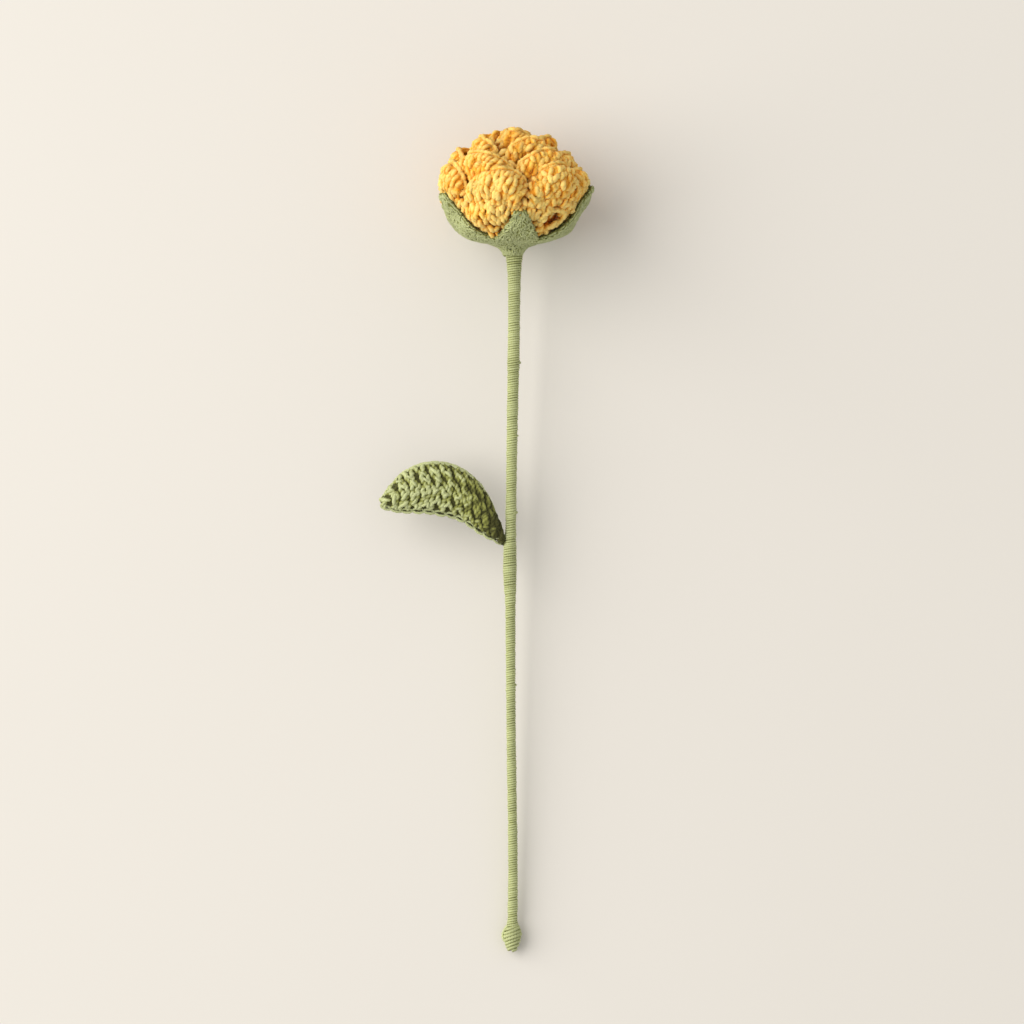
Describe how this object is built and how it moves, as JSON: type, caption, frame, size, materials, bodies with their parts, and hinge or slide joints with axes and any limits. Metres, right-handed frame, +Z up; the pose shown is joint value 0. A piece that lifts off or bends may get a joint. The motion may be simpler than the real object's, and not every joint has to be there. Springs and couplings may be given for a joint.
{
  "type": "crochet rose",
  "caption": "Crocheted yarn rose lying on its back: a rolled bloom of overlapping petals, a calyx of pointed sepals and a curled leaf, on a wire stem wound with yarn.",
  "frame": {"origin": "centre of the bounding box in plan, on the surface that the rose lies on", "axes": "+Y runs along the stem from the foot to the bloom, +Z is up, and the leaf is on the -X side"},
  "size_m": [0.0956, 0.3684, 0.0694],
  "materials": {
    "yellow_yarn": "matt, softly fuzzy cotton yarn, warm yellow",
    "green_yarn": "matt, softly fuzzy cotton yarn, sage green",
    "steel_wire": "plain drawn wire"
  },
  "bodies": {
    "root": {"bloom": "yellow_yarn", "calyx": "green_yarn", "leaf": "green_yarn", "stem_winding": "green_yarn", "stem_wire": "steel_wire", "leaf_wire": "steel_wire"}
  },
  "joints": []
}
